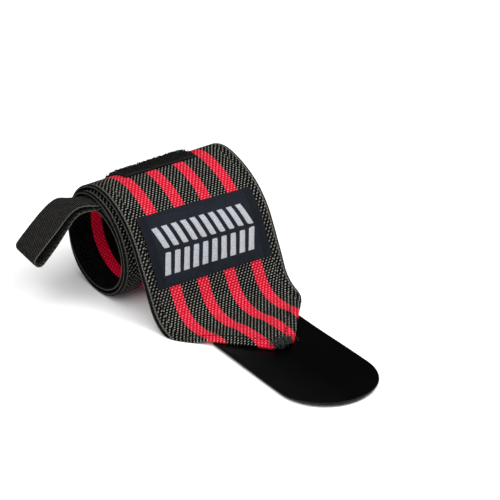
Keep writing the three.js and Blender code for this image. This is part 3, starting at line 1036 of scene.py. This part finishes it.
def label_bars():
    """Two rows of plain slanted bars where a label carries its print."""
    start = band.leave + LABEL_BELOW_LEAVE
    section = ((0, 0.0), (0.12, 0.7 * BAR_CROWN), (0.5, BAR_CROWN), (0.88, 0.7 * BAR_CROWN), (1, 0.0))
    steps, wide = 9, len(section)
    points, faces = [], []
    for near, way in BAR_ROWS:
        for k in range(BARS_IN_ROW):
            left = -LABEL_WIDTH / 2 + BARS_FROM_END + k * BAR_PITCH
            base = len(points)
            for i in range(steps):
                share = i / (steps - 1)
                lean = way * BAR_SLOPE * (share - 0.5) * BAR_HEIGHT
                for edge, rise in section:
                    ends = 0.0 if i in (0, steps - 1) else 1.0
                    along = start + near + share * BAR_HEIGHT
                    points.append((left + lean + edge * BAR_WIDTH, along, rise * ends))
            for i in range(steps - 1):
                for j in range(wide - 1):
                    a = base + i * wide + j
                    faces.append([a, a + wide, a + wide + 1, a + 1])
    p = np.array(points)
    seat = LABEL_THICK + 0.2 + 0.1 * np.sin(p[:, 0] / 6.1 + 0.4) * np.sin(p[:, 1] / 5.3)
    places = band.place(p[:, 0], p[:, 1], seat + p[:, 2])
    uv = np.stack([p[:, 0] + LABEL_WIDTH / 2, p[:, 1] - start], -1)
    return mesh_object("label_bars", places, faces, uv)


# The stage

def stage():
    corners = [[(x, y, 0.0) for x in (-FLOOR_HALF, FLOOR_HALF)] for y in (FLOOR_HALF, -FLOOR_HALF)]
    floor = grid_object("floor", np.array(corners))
    s = Shader("pale_floor", roughness=0.9, specular=0.1)
    s.colour((0.92, 0.92, 0.92))
    floor.data.materials.append(s.material)
    world = bpy.data.worlds.new("studio")
    bpy.context.scene.world = world
    world.use_nodes = True
    background = world.node_tree.nodes["Background"].inputs
    background["Color"].default_value = (1, 1, 1, 1)
    background["Strength"].default_value = WORLD_STRENGTH
    for name, place, size, power in LAMPS:
        lamp = bpy.data.lights.new(name, "AREA")
        lamp.energy = power
        lamp.size = size
        thing = bpy.data.objects.new(name, lamp)
        thing.location = place
        thing.rotation_euler = (Vector(LAMP_AIM) - Vector(place)).to_track_quat("-Z", "Y").to_euler()
        bpy.context.scene.collection.objects.link(thing)


def camera():
    a, e = math.radians(CAMERA_AZIMUTH), math.radians(CAMERA_ELEVATION)
    back = Vector((math.sin(a) * math.cos(e), -math.cos(a) * math.cos(e), math.sin(e)))
    lens = bpy.data.cameras.new("camera")
    lens.lens = CAMERA_LENS
    lens.sensor_width = SENSOR
    lens.sensor_fit = "HORIZONTAL"
    lens.clip_start = 0.05
    lens.clip_end = 20
    thing = bpy.data.objects.new("camera", lens)
    thing.location = (Vector(CAMERA_AIM) + back * CAMERA_DISTANCE) * MM
    thing.rotation_mode = "QUATERNION"
    thing.rotation_quaternion = (-back).to_track_quat("-Z", "Y")
    bpy.context.scene.collection.objects.link(thing)
    bpy.context.scene.camera = thing
    bpy.context.scene.view_settings.view_transform = "Standard"


camera()
stage()

edge_yarn = yarn_shader("selvedge_yarn", (0.012, 0.012, 0.010), (0.07, 0.068, 0.06))
strap_yarn = yarn_shader("strap_edge_yarn", (0.03, 0.03, 0.026), (0.10, 0.097, 0.085))
black_thread = yarn_shader("black_thread", (0.003, 0.003, 0.0035), (0.012, 0.012, 0.014), roughness=0.5)
pile_yarn = yarn_shader("black_pile", (0.002, 0.002, 0.002), (0.012, 0.012, 0.012), roughness=0.85)
hook_plastic = yarn_shader("hook_plastic", (0.004, 0.004, 0.004), (0.010, 0.010, 0.010), roughness=0.35)
tuft_yarn = yarn_shader("frayed_yarn", (0.001, 0.001, 0.001), (0.055, 0.063, 0.058), scale=1600.0)
bar_yarn = yarn_shader("light_label_yarn", (0.11, 0.113, 0.125), (0.47, 0.48, 0.52), roughness=0.6,
                       scale=1900.0)

cloth = elastic_band()
cords = selvedges(edge_yarn)
strap = thumb_loop()
strap_cords = strap_edges(strap_yarn)
label_piece = label()
bars = label_bars()
backing = patch()
pile = patch_pile(pile_yarn)
tab = hook_tab()
hooks = tab_hooks(hook_plastic)
label_seam, *hem_seams = sewing(black_thread)
tuft = tip_tuft(tuft_yarn)

MATERIALS = (
    (cloth, elastic_shader()),
    (strap, strap_shader()),
    (label_piece, label_shader()),
    (bars, bar_yarn),
    (backing, pile_yarn),
    (tab, backing_shader()),
)
for thing, material in MATERIALS:
    thing.data.materials.append(material)

SLOTS = {
    "elastic_band": [cloth, *cords, *hem_seams, tuft],
    "strap_webbing": [strap, *strap_cords],
    "label_cloth": [label_piece, label_seam, bars],
    "loop_pile": [backing, pile],
    "hook_backing": [tab, hooks],
}
for slot, things in SLOTS.items():
    for thing in things:
        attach(thing, "root")

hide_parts("elastic_band")
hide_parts("thumb_loop")
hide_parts("label")
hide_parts("loop_patch")
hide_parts("hook_tab")
